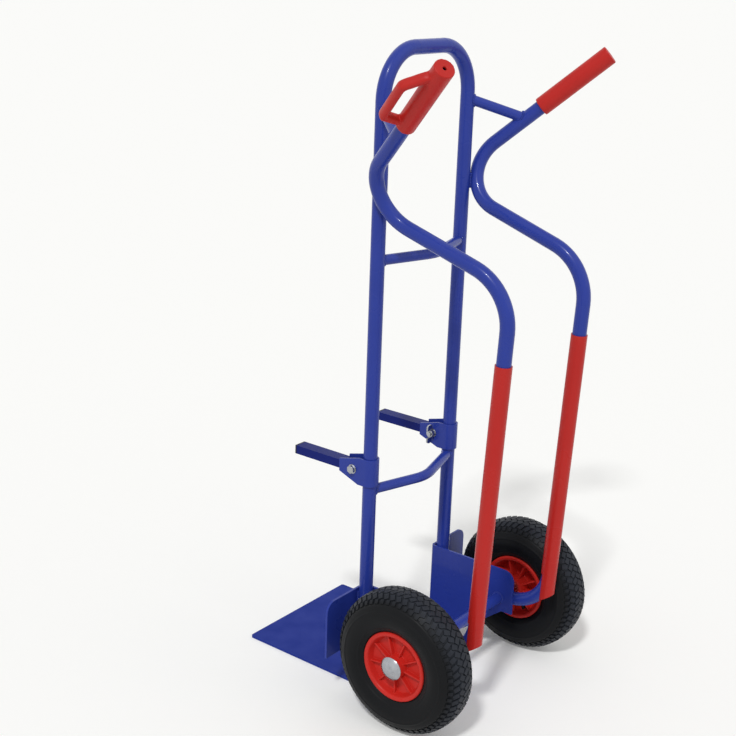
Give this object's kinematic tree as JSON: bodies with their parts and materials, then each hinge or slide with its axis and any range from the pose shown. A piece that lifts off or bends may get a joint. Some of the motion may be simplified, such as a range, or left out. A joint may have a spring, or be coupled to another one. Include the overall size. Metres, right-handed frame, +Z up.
{
  "type": "stacking chair trolley",
  "caption": "Tubular steel hand trolley with toe plate, air-filled wheels, rear slide rails and height-adjustable clamp arms for moving stacks of chairs.",
  "frame": {"origin": "on the floor under the toe plate, midway between the two uprights", "axes": "+X towards the wheel that is nearer in the picture, -Y towards the toe plate, +Y towards the slide rails and handles, +Z up"},
  "size_m": [0.5604, 0.5355, 1.1551],
  "materials": {
    "blue_paint": "gloss",
    "zinc_steel": "satin",
    "bush_steel": "satin",
    "tyre_rubber": "matte",
    "tube_rubber": "matte",
    "rim_plastic": "gloss",
    "sleeve_plastic": "gloss",
    "grip_plastic": "satin",
    "plug_plastic": "matte"
  },
  "bodies": {
    "frame": {"main_hoop": "blue_paint", "upper_cross_bar": "blue_paint", "lower_cross_bar": "blue_paint", "toe_plate": "blue_paint", "axle": "blue_paint", "right_slide_rail": "blue_paint", "left_slide_rail": "blue_paint", "right_handle_brace": "blue_paint", "left_handle_brace": "blue_paint", "right_slide_sleeve": "sleeve_plastic", "left_slide_sleeve": "sleeve_plastic", "right_grip": "grip_plastic", "left_grip": "grip_plastic", "right_wheel_bracket": "blue_paint", "left_wheel_bracket": "blue_paint", "right_axle_spacer": "zinc_steel", "left_axle_spacer": "zinc_steel", "right_axle_washer": "zinc_steel", "left_axle_washer": "zinc_steel", "right_axle_cap": "zinc_steel", "left_axle_cap": "zinc_steel"},
    "right_wheel": {"right_tyre": "tyre_rubber", "right_inner_tube": "tube_rubber", "right_rim_outer_half": "rim_plastic", "right_rim_inner_half": "rim_plastic", "right_hub_bushes": "bush_steel", "right_valve": "tube_rubber"},
    "left_wheel": {"left_tyre": "tyre_rubber", "left_inner_tube": "tube_rubber", "left_rim_outer_half": "rim_plastic", "left_rim_inner_half": "rim_plastic", "left_hub_bushes": "bush_steel", "left_valve": "tube_rubber"},
    "right_support": {"right_strap": "blue_paint", "right_arm": "blue_paint", "right_arm_plug": "plug_plastic", "right_bolt": "zinc_steel", "right_bolt_washers": "zinc_steel", "right_wing_nut": "zinc_steel"},
    "left_support": {"left_strap": "blue_paint", "left_arm": "blue_paint", "left_arm_plug": "plug_plastic", "left_bolt": "zinc_steel", "left_bolt_washers": "zinc_steel", "left_wing_nut": "zinc_steel"}
  },
  "joints": [
    {"name": "right_wheel_spin", "type": "hinge", "parent": "frame", "child": "right_wheel", "pos_m": [0.1935, 0.142, 0.13], "axis": [1, 0, 0], "continuous": true},
    {"name": "left_wheel_spin", "type": "hinge", "parent": "frame", "child": "left_wheel", "pos_m": [-0.1935, 0.142, 0.13], "axis": [1, 0, 0], "continuous": true},
    {"name": "right_support_slide", "type": "slide", "parent": "frame", "child": "right_support", "axis": [0, 0, 1], "range_m": [0, 0.34]},
    {"name": "left_support_slide", "type": "slide", "parent": "frame", "child": "left_support", "axis": [0, 0, 1], "range_m": [0, 0.34]}
  ]
}
